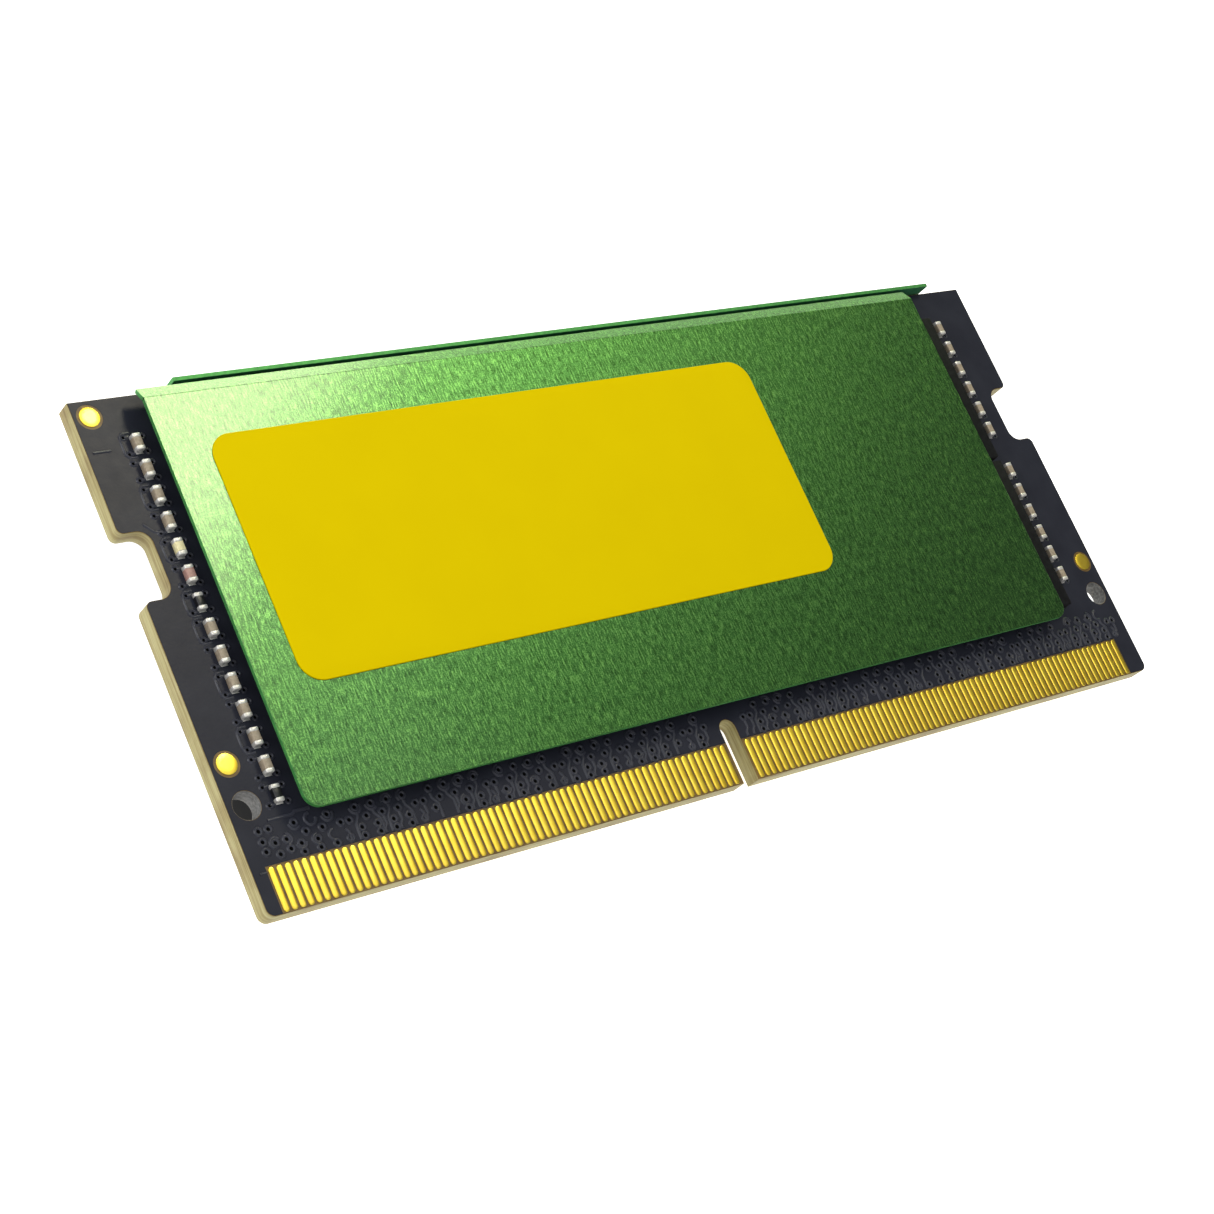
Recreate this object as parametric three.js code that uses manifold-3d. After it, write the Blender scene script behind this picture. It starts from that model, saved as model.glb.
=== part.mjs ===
// A laptop memory module (262-contact SO-DIMM) with a heat spreader on each face, lying on its back.
// Millimetres. +X runs along the module, +Y runs up the board from the contact edge, +Z points out of the
// front face. The origin is the centre of the footprint, in the plane that the back spreader rests on.
// Every part is drawn in the board's own frame, which starts at the board's bottom left front corner,
// and the whole module is then moved to the origin.
import * as THREE from "three";
import { mergeVertices } from "three/addons/utils/BufferGeometryUtils.js";
import Module from "manifold-3d";

const wasm = await Module();
wasm.setup();

// Circuit board
const boardLength = 69.6;
const boardHeight = 30;
const boardThickness = 1.2;
const boardCornerRadius = 0.5;
const keySlotX = 33.2;
const keySlotWidth = 1.15;
const keySlotDepth = 4;
const notchY = 20;
const notchWidth = 4;
const notchDepth = 1.8;
const notchCornerRadius = 0.8;
const notchMouthRadius = 0.4;
const toolingHoleRadius = 0.8;
const toolingHoleInset = 1.2;
const toolingHoleY = 6;

// Gold contacts and alignment marks
const contactPitch = 0.5;
const contactWidth = 0.35;
const contactBottom = 0.08;
const contactTop = 2.55;
const contactHeight = 0.05;
const contactWebHeight = 0.02;
const firstContactX = 1.15;
const leftContactCount = 63;
const rightContactCount = 68;
const contactsSkippedAtKey = 3;
const fiducialRadius = 0.6;
const fiducialHeight = 0.03;
const fiducialInset = 1;
const lowerFiducialY = 8.4;
const upperFiducialY = 29;

// Columns of small parts at the two ends of the board
const smallPartLength = 1;
const smallPartWidth = 0.5;
const capacitorHeight = 0.5;
const resistorHeight = 0.35;
const smallPartTerminal = 0.25;
const terminalStep = 0.02;
const smallPartTopY = 27;
const smallPartPitch = 1.6;
const smallPartPlaces = 14;
const resistorPlaces = [6, 13];
const leftColumnX = 3;
const rightColumnX = 65.7;

// Memory packages, the same on both faces
const packageWidth = 9;
const packageLength = 11;
const packageHeight = 1.05;
const packageStandoff = 0.25;
const ballFieldInset = 0.6;
const packageColumns = [9.6, 60];
const packageRows = [22.1, 10.9];

// Power and hub chips under the middle of the front spreader
const powerChipSize = [4, 3, 0.75];
const powerChipAt = [34.8, 24.4];
const hubSize = [2, 3, 0.55];
const hubAt = [34.8, 12.6];
const inductorSize = [3, 2.5, 1];
const inductorPlaces = [[28.9, 24.4], [40.7, 24.4], [34.8, 19.6]];
const inductorChamfer = 0.3;
const bulkCapacitorSize = [0.8, 1.6, 0.8];
const bulkCapacitorPlaces = [[30.4, 20], [31.8, 20], [37.8, 20], [39.2, 20]];
const bulkTerminal = 0.35;

// Heat spreaders, pads and label
const padThickness = 0.2;
const sheetThickness = 0.25;
const spreaderLeft = 3.4;
const spreaderLength = 59.7;
const spreaderBottom = 4.6;
const spreaderCornerRadius = 0.9;
const rimStart = 29;
const rimLength = 0.9;
const rimAngle = Math.PI / 6;
const backSheetShift = 0.3;
const flangeY = 30.3;
const flangeRise = 0.9;
const flangeRadius = 0.75;
const trimMargin = 1;
const labelLength = 39.7;
const labelWidth = 15;
const labelThickness = 0.08;
const labelCornerRadius = 1.4;
const labelCentre = [25.9, 18.7];

const sheetUnderside = packageHeight + padThickness;
const spreaderTop = sheetUnderside + sheetThickness;
const backFace = -boardThickness;

// Materials
const material = (color, roughness, metalness = 0) =>
  new THREE.MeshStandardMaterial({ color, roughness, metalness });
const soldermask = material(0x34343c, 0.45);
const gold = material(0xe2bd3a, 0.3, 1);
const greenAnodised = material(0x4f9a45, 0.4, 0.8);
const yellowPaper = material(0xdcc400, 0.55);
const blackMould = material(0x1d1d20, 0.6);
const padGrey = material(0x9aa0a4, 0.9);
const capacitorTan = material(0xa98f6f, 0.5);
const resistorBlack = material(0x151517, 0.5);
const ferriteGrey = material(0x4a4a4e, 0.7);

// Joining and cutting
function solidFrom(geometry) {
  const bare = geometry.index ? geometry.toNonIndexed() : geometry.clone();
  bare.deleteAttribute("normal");
  bare.deleteAttribute("uv");
  const merged = mergeVertices(bare, 1e-4);
  return new wasm.Manifold(
    new wasm.Mesh({
      numProp: 3,
      vertProperties: merged.attributes.position.array,
      triVerts: new Uint32Array(merged.index.array),
    }),
  );
}

function geometryFrom(solid) {
  const { vertProperties, triVerts } = solid.getMesh();
  const geometry = new THREE.BufferGeometry();
  geometry.setAttribute("position", new THREE.BufferAttribute(vertProperties, 3));
  geometry.setIndex(new THREE.BufferAttribute(triVerts, 1));
  geometry.computeVertexNormals();
  return geometry;
}

// Shapes
function box(width, depth, height, x, y, z) {
  return new THREE.BoxGeometry(width, depth, height).translate(x, y, z + height / 2);
}

function slab(shape, thickness, z) {
  const settings = { depth: thickness, bevelEnabled: false, curveSegments: 6 };
  return new THREE.ExtrudeGeometry(shape, settings).translate(0, 0, z);
}

// A profile drawn as (y, z), swept from x = start to x = start + length.
function alongX(profile, start, length) {
  const settings = { depth: length, bevelEnabled: false, curveSegments: 6 };
  const geometry = new THREE.ExtrudeGeometry(profile, settings);
  const turn = new THREE.Matrix4().makeBasis(
    new THREE.Vector3(0, 1, 0),
    new THREE.Vector3(0, 0, 1),
    new THREE.Vector3(1, 0, 0),
  );
  return geometry.applyMatrix4(turn).translate(start, 0, 0);
}

function roundedRectangle(left, bottom, right, top, radius) {
  const shape = new THREE.Shape();
  shape.moveTo(left + radius, bottom);
  shape.absarc(right - radius, bottom + radius, radius, -Math.PI / 2, 0);
  shape.absarc(right - radius, top - radius, radius, 0, Math.PI / 2);
  shape.absarc(left + radius, top - radius, radius, Math.PI / 2, Math.PI);
  shape.absarc(left + radius, bottom + radius, radius, Math.PI, 1.5 * Math.PI);
  return shape;
}

// The board's outline, drawn anticlockwise from its bottom left corner.
function boardOutline() {
  const halfSlot = keySlotWidth / 2;
  const notchLow = notchY - notchWidth / 2;
  const notchHigh = notchY + notchWidth / 2;
  const quarter = Math.PI / 2;
  const outline = new THREE.Shape();
  outline.moveTo(boardCornerRadius, 0);
  outline.lineTo(keySlotX - halfSlot, 0);
  outline.absarc(keySlotX, keySlotDepth - halfSlot, halfSlot, Math.PI, 0, true);
  outline.lineTo(keySlotX + halfSlot, 0);
  outline.absarc(boardLength - boardCornerRadius, boardCornerRadius, boardCornerRadius, -quarter, 0);

  const rightInner = boardLength - notchDepth + notchCornerRadius;
  const rightMouth = boardLength - notchMouthRadius;
  outline.absarc(rightMouth, notchLow - notchMouthRadius, notchMouthRadius, 0, quarter);
  outline.absarc(rightInner, notchLow + notchCornerRadius, notchCornerRadius, -quarter, -2 * quarter, true);
  outline.absarc(rightInner, notchHigh - notchCornerRadius, notchCornerRadius, 2 * quarter, quarter, true);
  outline.absarc(rightMouth, notchHigh + notchMouthRadius, notchMouthRadius, -quarter, 0);
  outline.lineTo(boardLength, boardHeight);
  outline.lineTo(0, boardHeight);

  const leftInner = notchDepth - notchCornerRadius;
  const leftMouth = notchMouthRadius;
  outline.absarc(leftMouth, notchHigh + notchMouthRadius, notchMouthRadius, 2 * quarter, 3 * quarter);
  outline.absarc(leftInner, notchHigh - notchCornerRadius, notchCornerRadius, quarter, 0, true);
  outline.absarc(leftInner, notchLow + notchCornerRadius, notchCornerRadius, 0, -quarter, true);
  outline.absarc(leftMouth, notchLow - notchMouthRadius, notchMouthRadius, quarter, 2 * quarter);
  outline.absarc(boardCornerRadius, boardCornerRadius, boardCornerRadius, 2 * quarter, 3 * quarter);

  for (const x of [toolingHoleInset, boardLength - toolingHoleInset]) {
    const hole = new THREE.Path();
    hole.absarc(x, toolingHoleY, toolingHoleRadius, 0, 2 * Math.PI);
    outline.holes.push(hole);
  }
  return outline;
}

// A row of gold fingers on one thin copper web, proud of the front face at z = 0.
function contactRow(firstX, count) {
  const half = contactWidth / 2;
  const outline = new THREE.Shape();
  outline.moveTo(firstX - half, 0);
  outline.lineTo(firstX + (count - 1) * contactPitch + half, 0);
  for (let finger = count - 1; finger >= 0; finger -= 1) {
    const x = firstX + finger * contactPitch;
    outline.lineTo(x + half, contactHeight);
    outline.lineTo(x - half, contactHeight);
    if (finger > 0) {
      outline.lineTo(x - half, contactWebHeight);
      outline.lineTo(x - contactPitch + half, contactWebHeight);
    }
  }
  const length = contactTop - contactBottom;
  return new THREE.ExtrudeGeometry(outline, { depth: length, bevelEnabled: false })
    .rotateX(Math.PI / 2)
    .translate(0, contactTop, 0);
}

// A chip part whose two metal ends stand slightly proud of its body, lying along Y.
function terminalPart(width, length, height, terminal) {
  const ends = solidFrom(box(width, length, height, 0, 0, 0));
  const waist = box(width * 2, length - 2 * terminal, height, 0, 0, height - terminalStep);
  return geometryFrom(ends.subtract(solidFrom(waist)));
}

// A moulded package on the lower block that stands for its field of solder balls.
function memoryPackage() {
  const inset = 2 * ballFieldInset;
  const balls = box(packageWidth - inset, packageLength - inset, packageHeight / 2, 0, 0, 0);
  const bodyHeight = packageHeight - packageStandoff;
  const body = box(packageWidth, packageLength, bodyHeight, 0, 0, packageStandoff);
  return geometryFrom(solidFrom(balls).add(solidFrom(body)));
}

// A choke: a block with its two upper long edges cut back.
function inductor() {
  const [width, length, height] = inductorSize;
  const profile = new THREE.Shape();
  profile.moveTo(-length / 2, 0);
  profile.lineTo(length / 2, 0);
  profile.lineTo(length / 2, height - inductorChamfer);
  profile.lineTo(length / 2 - inductorChamfer, height);
  profile.lineTo(-length / 2 + inductorChamfer, height);
  profile.lineTo(-length / 2, height - inductorChamfer);
  return alongX(profile, -width / 2, width);
}

// The front sheet's section: flat over the chips, with a rim bent down along its top edge.
function rimmedSection() {
  const along = [Math.cos(rimAngle), -Math.sin(rimAngle)];
  const inward = [-Math.sin(rimAngle) * sheetThickness, -Math.cos(rimAngle) * sheetThickness];
  const rimEndY = rimStart + rimLength * along[0];
  const rimEndZ = spreaderTop + rimLength * along[1];
  const profile = new THREE.Shape();
  profile.moveTo(spreaderBottom - trimMargin, sheetUnderside);
  profile.lineTo(rimStart - sheetThickness * Math.tan(rimAngle / 2), sheetUnderside);
  profile.lineTo(rimEndY + inward[0], rimEndZ + inward[1]);
  profile.lineTo(rimEndY, rimEndZ);
  profile.lineTo(rimStart, spreaderTop);
  profile.lineTo(spreaderBottom - trimMargin, spreaderTop);
  return profile;
}

// The back sheet's section: flat over the chips, then folded past the board's top edge.
function flangedSection() {
  const innerRadius = flangeRadius - sheetThickness;
  const bendY = flangeY - flangeRadius;
  const bendZ = spreaderTop - flangeRadius;
  const flangeEnd = -boardThickness - flangeRise;
  const profile = new THREE.Shape();
  profile.moveTo(spreaderBottom - trimMargin, sheetUnderside);
  profile.lineTo(bendY, sheetUnderside);
  profile.absarc(bendY, bendZ, innerRadius, Math.PI / 2, 0, true);
  profile.lineTo(flangeY - sheetThickness, flangeEnd);
  profile.lineTo(flangeY, flangeEnd);
  profile.absarc(bendY, bendZ, flangeRadius, 0, Math.PI / 2);
  profile.lineTo(spreaderBottom - trimMargin, spreaderTop);
  return profile;
}

// A spreader: its section drawn out along the module, trimmed to a plan with two round corners.
function spreader(section) {
  const right = spreaderLeft + spreaderLength;
  const top = boardHeight + trimMargin;
  const plan = new THREE.Shape();
  const radius = spreaderCornerRadius;
  plan.moveTo(spreaderLeft, top);
  plan.lineTo(spreaderLeft, spreaderBottom + radius);
  plan.absarc(spreaderLeft + radius, spreaderBottom + radius, radius, Math.PI, 1.5 * Math.PI);
  plan.absarc(right - radius, spreaderBottom + radius, radius, 1.5 * Math.PI, 2 * Math.PI);
  plan.lineTo(right, top);

  const sheet = solidFrom(alongX(section, spreaderLeft - trimMargin, spreaderLength + 2 * trimMargin));
  const cutterFoot = -boardThickness - flangeRise - trimMargin;
  const cutter = solidFrom(slab(plan, spreaderTop - cutterFoot + trimMargin, cutterFoot));
  return geometryFrom(sheet.intersect(cutter));
}

// Adding parts
const front = new THREE.Group();
const back = new THREE.Group();

function add(group, name, geometry, look, x = 0, y = 0, z = 0) {
  const mesh = new THREE.Mesh(geometry, look);
  mesh.name = name;
  mesh.position.set(x, y, z);
  group.add(mesh);
  return mesh;
}

function addBoard() {
  add(front, "pcb", slab(boardOutline(), boardThickness, backFace), soldermask);
}

// The two rows on one face, left to right as seen looking at that face.
function addContacts(group, side, firstX, leftCount, rightCount) {
  const rightX = firstX + (leftCount + contactsSkippedAtKey) * contactPitch;
  add(group, `contacts_${side}_left`, contactRow(firstX, leftCount), gold);
  add(group, `contacts_${side}_right`, contactRow(rightX, rightCount), gold);
}

function addFiducials() {
  const disc = new THREE.CylinderGeometry(fiducialRadius, fiducialRadius, fiducialHeight, 24);
  disc.rotateX(Math.PI / 2);
  const z = fiducialHeight / 2;
  add(front, "fiducial_top_left", disc, gold, fiducialInset, upperFiducialY, z);
  add(front, "fiducial_left", disc, gold, fiducialInset, lowerFiducialY, z);
  add(front, "fiducial_right", disc, gold, boardLength - fiducialInset, lowerFiducialY, z);
}

function addSmallParts() {
  const capacitor = terminalPart(smallPartWidth, smallPartLength, capacitorHeight, smallPartTerminal);
  const resistor = terminalPart(smallPartWidth, smallPartLength, resistorHeight, smallPartTerminal);
  let capacitorNumber = 0;
  for (let place = 0; place < smallPartPlaces; place += 1) {
    const y = smallPartTopY - place * smallPartPitch;
    const resistorNumber = resistorPlaces.indexOf(place) + 1;
    if (resistorNumber) {
      add(front, `resistor_left_${resistorNumber}`, resistor, resistorBlack, leftColumnX, y);
      continue;
    }
    capacitorNumber += 1;
    const number = String(capacitorNumber).padStart(2, "0");
    add(front, `capacitor_left_${number}`, capacitor, capacitorTan, leftColumnX, y);
    add(front, `capacitor_right_${number}`, capacitor, capacitorTan, rightColumnX, y);
  }
}

function addMemory(group, side) {
  const geometry = memoryPackage();
  let number = 0;
  for (const y of packageRows) {
    for (const x of packageColumns) {
      number += 1;
      add(group, `memory_${side}_${number}`, geometry, blackMould, x, y);
    }
  }
}

function addPowerParts() {
  const [powerX, powerY] = powerChipAt;
  const [hubX, hubY] = hubAt;
  add(front, "power_chip", box(...powerChipSize, 0, 0, 0), blackMould, powerX, powerY);
  add(front, "spd_hub", box(...hubSize, 0, 0, 0), blackMould, hubX, hubY);
  inductorPlaces.forEach(([x, y], index) => {
    add(front, `power_inductor_${index + 1}`, inductor(), ferriteGrey, x, y);
  });
  bulkCapacitorPlaces.forEach(([x, y], index) => {
    const geometry = terminalPart(...bulkCapacitorSize, bulkTerminal);
    add(front, `bulk_capacitor_${index + 1}`, geometry, capacitorTan, x, y);
  });
}

// A pad covers one column of packages, as far as the spreader reaches over it.
function addPads(group, side) {
  const spreaderRight = spreaderLeft + spreaderLength;
  const bottom = packageRows[1] - packageLength / 2;
  const top = packageRows[0] + packageLength / 2;
  packageColumns.forEach((x, index) => {
    const left = Math.max(x - packageWidth / 2, spreaderLeft);
    const right = Math.min(x + packageWidth / 2, spreaderRight);
    const sheet = box(right - left, top - bottom, padThickness, 0, 0, 0);
    const name = `thermal_pad_${side}_${["left", "right"][index]}`;
    add(group, name, sheet, padGrey, (left + right) / 2, (top + bottom) / 2, packageHeight);
  });
}

function addPowerPad() {
  const [width, depth, height] = powerChipSize;
  const [x, y] = powerChipAt;
  add(front, "thermal_pad_power", box(width, depth, sheetUnderside - height, 0, 0, 0), padGrey, x, y, height);
}

function addSpreaders() {
  add(front, "front_spreader", spreader(rimmedSection()), greenAnodised);
  add(back, "back_spreader", spreader(flangedSection()), greenAnodised, backSheetShift);
}

function addLabel() {
  const [x, y] = labelCentre;
  const halfLength = labelLength / 2;
  const halfWidth = labelWidth / 2;
  const shape = roundedRectangle(-halfLength, -halfWidth, halfLength, halfWidth, labelCornerRadius);
  add(front, "label", slab(shape, labelThickness, 0), yellowPaper, x, y, spreaderTop);
}

// Seen from the back, the long row is on the left and starts at the front's last contact.
const contactPlaces = leftContactCount + contactsSkippedAtKey + rightContactCount;
const lastContactX = firstContactX + (contactPlaces - 1) * contactPitch;

addBoard();
addContacts(front, "front", firstContactX, leftContactCount, rightContactCount);
addFiducials();
addSmallParts();
addMemory(front, "front");
addPowerParts();
addPads(front, "front");
addPowerPad();
addSpreaders();
addLabel();

addContacts(back, "back", boardLength - lastContactX, rightContactCount, leftContactCount);
addMemory(back, "back");
addPads(back, "back");

// The back group is the front one turned over about the board's upright centre line.
back.rotation.y = Math.PI;
back.position.set(boardLength, 0, backFace);

const assembly = new THREE.Group();
assembly.add(front, back);
assembly.position.set(-boardLength / 2, -flangeY / 2, boardThickness + spreaderTop);

const part = new THREE.Group();
part.add(assembly);

export default part;
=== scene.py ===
import math
import random

import bmesh
import bpy
from mathutils import Matrix, Vector


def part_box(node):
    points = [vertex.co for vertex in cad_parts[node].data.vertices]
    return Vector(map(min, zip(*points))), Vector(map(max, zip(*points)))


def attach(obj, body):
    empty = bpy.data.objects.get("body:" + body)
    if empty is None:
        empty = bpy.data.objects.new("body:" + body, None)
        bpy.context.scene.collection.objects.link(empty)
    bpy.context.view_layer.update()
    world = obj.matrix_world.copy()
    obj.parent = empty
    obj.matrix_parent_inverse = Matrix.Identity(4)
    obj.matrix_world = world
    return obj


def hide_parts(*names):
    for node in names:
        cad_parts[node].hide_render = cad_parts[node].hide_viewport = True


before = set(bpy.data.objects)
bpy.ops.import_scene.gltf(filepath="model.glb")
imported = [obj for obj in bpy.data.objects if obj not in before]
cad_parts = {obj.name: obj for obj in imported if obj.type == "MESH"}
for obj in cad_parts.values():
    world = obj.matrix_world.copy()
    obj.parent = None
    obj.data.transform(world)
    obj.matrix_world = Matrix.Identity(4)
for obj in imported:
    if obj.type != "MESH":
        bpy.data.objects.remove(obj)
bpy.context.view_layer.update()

MM = 0.001
DRAW = random.Random(262)

BOARD_LOW, BOARD_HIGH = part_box("pcb")
CONTACT_PITCH = 0.5 * MM
CONTACT_WIDTH = 0.35 * MM
CONTACT_RADIUS = 0.14 * MM
FIDUCIALS = ("fiducial_top_left", "fiducial_left", "fiducial_right")

# The solder mask: a film that stops short of the board's edge, and its openings for the contacts and marks
MASK_THICKNESS = 0.02 * MM
MASK_INSET = 0.04 * MM
WINDOW_TOP = 2.63 * MM
WINDOW_MARGIN = 0.12 * MM
FIDUCIAL_MARGIN = 0.16 * MM

# The board's cut-outs, measured from its edges as in the CAD part
CORNER_RADIUS = 0.5 * MM
KEY_X = 33.2 * MM
KEY_WIDTH = 1.15 * MM
KEY_DEPTH = 4 * MM
NOTCH_Y = 20 * MM
NOTCH_WIDTH = 4 * MM
NOTCH_DEPTH = 1.8 * MM
NOTCH_RADIUS = 0.8 * MM
MOUTH_RADIUS = 0.4 * MM
HOLE_RADIUS = 0.8 * MM
HOLE_INSET = 1.2 * MM
HOLE_Y = 6 * MM

# The memory packages: solder balls, then a substrate, then a moulding
BALL_PITCH = 0.8 * MM
BALL_RADIUS = 0.22 * MM
BALL_HEIGHT = 0.25 * MM
SUBSTRATE_TOP = 0.42 * MM
MOULD_INSET = 0.02 * MM

# The power parts
LEAD_PITCH = 0.5 * MM
LEAD_WIDTH = 0.24 * MM
LEAD_THICKNESS = 0.1 * MM
LEAD_REACH = 0.08 * MM
CHOKE_FOOT = 0.45 * MM
CHOKE_FOOT_HEIGHT = 0.3 * MM

# The small parts' tinned ends
TERMINAL = 0.25 * MM
BULK_TERMINAL = 0.35 * MM

# The thermal pads and the label
PAD_RADIUS = 0.3 * MM
PAD_BULGE = 0.06 * MM
LABEL_RADIUS = 1.4 * MM

# The heat spreaders' sheet
SHEET_THICKNESS = 0.25 * MM
SHEET_CORNER = 0.9 * MM
RIM_LENGTH = 0.9 * MM
RIM_ANGLE = math.radians(30)
RIM_RADIUS = 0.1 * MM
FLANGE_RADIUS = 0.75 * MM
SHEET_COLUMNS = 24
# The front sheet and the label start this much further right than their CAD boxes
LEFT_TRIM = Vector((0.25 * MM, 0, 0))

# The floor, and the spot of shade on it under the left tooling hole, from the board's lower left corner
FLOOR_SIZE = 6
FLOOR_DROP = 0.2 * MM
SHADE_RADIUS = 1.6 * MM
SHADE_X = 2.6 * MM
SHADE_Y = 6.7 * MM


def board_point(x, y):
    """A point on the board's front face, from its lower left corner."""
    return Vector((BOARD_LOW.x + x, BOARD_LOW.y + y, BOARD_HIGH.z))


# ---------------------------------------------------------------- materials

class Look:
    """A procedural material: one Principled shader and the nodes that feed it."""

    def __init__(self, name, **inputs):
        self.material = bpy.data.materials.new(name)
        self.material.use_nodes = True
        self.nodes = self.material.node_tree.nodes
        self.links = self.material.node_tree.links
        self.shader = self.nodes["Principled BSDF"]
        for key, value in inputs.items():
            self.shader.inputs[key.replace("_", " ")].default_value = value

    def add(self, kind, **settings):
        node = self.nodes.new(kind)
        for key, value in settings.items():
            setattr(node, key, value)
        return node

    def coordinates(self, scale):
        """Object coordinates, multiplied by a scale along each axis."""
        source = self.add("ShaderNodeTexCoord")
        mapping = self.add("ShaderNodeMapping")
        mapping.inputs["Scale"].default_value = scale
        self.links.new(source.outputs["Object"], mapping.inputs["Vector"])
        return mapping.outputs["Vector"]

    def noise(self, scale, detail=4, stretch=(1, 1, 1), roughness=0.5):
        """Noise from 0 to 1. A small stretch along an axis draws the noise out along it."""
        node = self.add("ShaderNodeTexNoise")
        node.inputs["Scale"].default_value = scale
        node.inputs["Detail"].default_value = detail
        node.inputs["Roughness"].default_value = roughness
        self.links.new(self.coordinates(stretch), node.inputs["Vector"])
        return node.outputs["Fac"]

    def ramp(self, value, stops):
        """A colour for each value, from stops that each hold a value and its colour."""
        node = self.add("ShaderNodeValToRGB")
        ramp = node.color_ramp
        while len(ramp.elements) < len(stops):
            ramp.elements.new(0.5)
        for element, (place, colour) in zip(ramp.elements, stops):
            element.position = place
            element.color = (*colour, 1)
        self.links.new(value, node.inputs["Fac"])
        return node.outputs["Color"]

    def range(self, value, low, high):
        """A value from 0 to 1, spread between low and high."""
        node = self.add("ShaderNodeMapRange")
        node.inputs["To Min"].default_value = low
        node.inputs["To Max"].default_value = high
        self.links.new(value, node.inputs["Value"])
        return node.outputs["Result"]

    def mix(self, first, second, share, blend="MIX"):
        """Two colours mixed. The node's sockets share their names, so the colour ones go by number."""
        first_colour, second_colour, result_colour = 6, 7, 2
        node = self.add("ShaderNodeMix", data_type="RGBA", blend_type=blend)
        node.inputs["Factor"].default_value = share
        self.links.new(first, node.inputs[first_colour])
        self.links.new(second, node.inputs[second_colour])
        return node.outputs[result_colour]

    def feed(self, socket, output):
        self.links.new(output, self.shader.inputs[socket])

    def bump(self, height, strength, distance, socket="Normal"):
        """Relief in the shading only, with its depth as a distance in metres."""
        node = self.add("ShaderNodeBump")
        node.inputs["Strength"].default_value = strength
        node.inputs["Distance"].default_value = distance
        self.links.new(height, node.inputs["Height"])
        self.feed(socket, node.outputs["Normal"])


def soldermask_look(name, dark, light, gloss):
    """Black lacquer over the board. It looks a little lighter where there is copper under it."""
    look = Look(name, Specular_IOR_Level=gloss)
    look.feed("Base Color", look.ramp(look.noise(600, 5), [(0.3, dark), (0.7, light)]))
    look.feed("Roughness", look.range(look.noise(1500, 3), 0.26, 0.36))
    look.bump(look.noise(6000, 4), 0.25, 0.02 * MM)
    return look.material


def laminate_look():
    """The board's cut edge: glass cloth in resin, in thin layers."""
    look = Look("laminate", Roughness=0.6)
    layers = look.noise(900, 3, (0.25, 0.25, 9))
    patches = look.noise(350, 4)
    tans = [(0.35, (0.235, 0.185, 0.06)), (0.5, (0.325, 0.28, 0.11)), (0.65, (0.38, 0.34, 0.155))]
    tan = look.ramp(layers, tans)
    burn = look.ramp(patches, [(0.3, (0.62, 0.5, 0.36)), (0.5, (1, 1, 1))])
    look.feed("Base Color", look.mix(tan, burn, 0.8, "MULTIPLY"))
    look.bump(look.noise(5000, 4, (1, 1, 3)), 0.5, 0.04 * MM)
    return look.material


def resin_look():
    """Bare board between the contacts."""
    look = Look("bare_resin", Roughness=0.45)
    cloud = look.noise(1800, 4)
    look.feed("Base Color", look.ramp(cloud, [(0.3, (0.11, 0.06, 0.008)), (0.7, (0.2, 0.12, 0.02))]))
    look.bump(look.noise(7000, 3), 0.3, 0.02 * MM)
    return look.material


def gold_look():
    look = Look("gold_plate", Metallic=1.0, Coat_Weight=0.2, Coat_Roughness=0.15, Coat_IOR=1.8)
    cloud = look.noise(1200, 4)
    look.feed("Base Color", look.ramp(cloud, [(0.3, (0.94, 0.67, 0.055)), (0.7, (1.0, 0.77, 0.085))]))
    look.feed("Roughness", look.range(look.noise(4000, 4, (1, 0.15, 1)), 0.28, 0.38))
    look.bump(look.noise(9000, 3, (1, 0.1, 1)), 0.15, 0.01 * MM)
    return look.material


def spreader_look():
    """Brushed aluminium under green dye. The brush marks run up the board."""
    look = Look("green_anodised", Metallic=1.0, Coat_Weight=0.3, Coat_Roughness=0.15, Coat_IOR=1.8)
    streaks = look.noise(9500, 5, (1, 0.17, 1), 0.65)
    grain = look.noise(11000, 2)
    marks = look.mix(streaks, grain, 0.35)
    greens = [(0.38, (0.018, 0.062, 0.014)), (0.5, (0.048, 0.155, 0.036)), (0.62, (0.14, 0.35, 0.085))]
    look.feed("Base Color", look.ramp(marks, greens))
    look.feed("Roughness", look.range(marks, 0.24, 0.36))
    look.bump(marks, 1.0, 0.025 * MM)
    look.bump(marks, 0.12, 0.02 * MM, "Coat Normal")
    return look.material


def spreader_inside_look():
    """The sheet's unbrushed inner side."""
    look = Look("green_inner_side", Metallic=0.4, Roughness=0.5)
    cloud = look.noise(5000, 4)
    look.feed("Base Color", look.ramp(cloud, [(0.3, (0.035, 0.2, 0.085)), (0.7, (0.06, 0.3, 0.13))]))
    look.bump(look.noise(7000, 3), 0.2, 0.02 * MM)
    return look.material


def spreader_edge_look():
    """The sheet's cut edges, which are matt and take the dye evenly."""
    look = Look("green_cut_edge", Metallic=0.6, Roughness=0.5)
    cloud = look.noise(4000, 4)
    look.feed("Base Color", look.ramp(cloud, [(0.3, (0.045, 0.22, 0.055)), (0.7, (0.075, 0.34, 0.08))]))
    return look.material


def label_look():
    look = Look("yellow_film", Roughness=0.8, Specular_IOR_Level=0.02)
    cloud = look.noise(250, 3)
    look.feed("Base Color", look.ramp(cloud, [(0.3, (0.745, 0.56, 0.0)), (0.7, (0.76, 0.575, 0.0))]))
    look.bump(look.noise(2500, 4), 0.06, 0.02 * MM)
    return look.material


def mould_look():
    """Black epoxy of a chip package."""
    look = Look("black_epoxy", Specular_IOR_Level=0.1)
    blacks = [(0.35, (0.006, 0.006, 0.0075)), (0.7, (0.012, 0.012, 0.014))]
    look.feed("Base Color", look.ramp(look.noise(3000, 5), blacks))
    look.feed("Roughness", look.range(look.noise(5000, 3), 0.45, 0.65))
    look.bump(look.noise(9000, 4), 0.3, 0.02 * MM)
    return look.material


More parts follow.
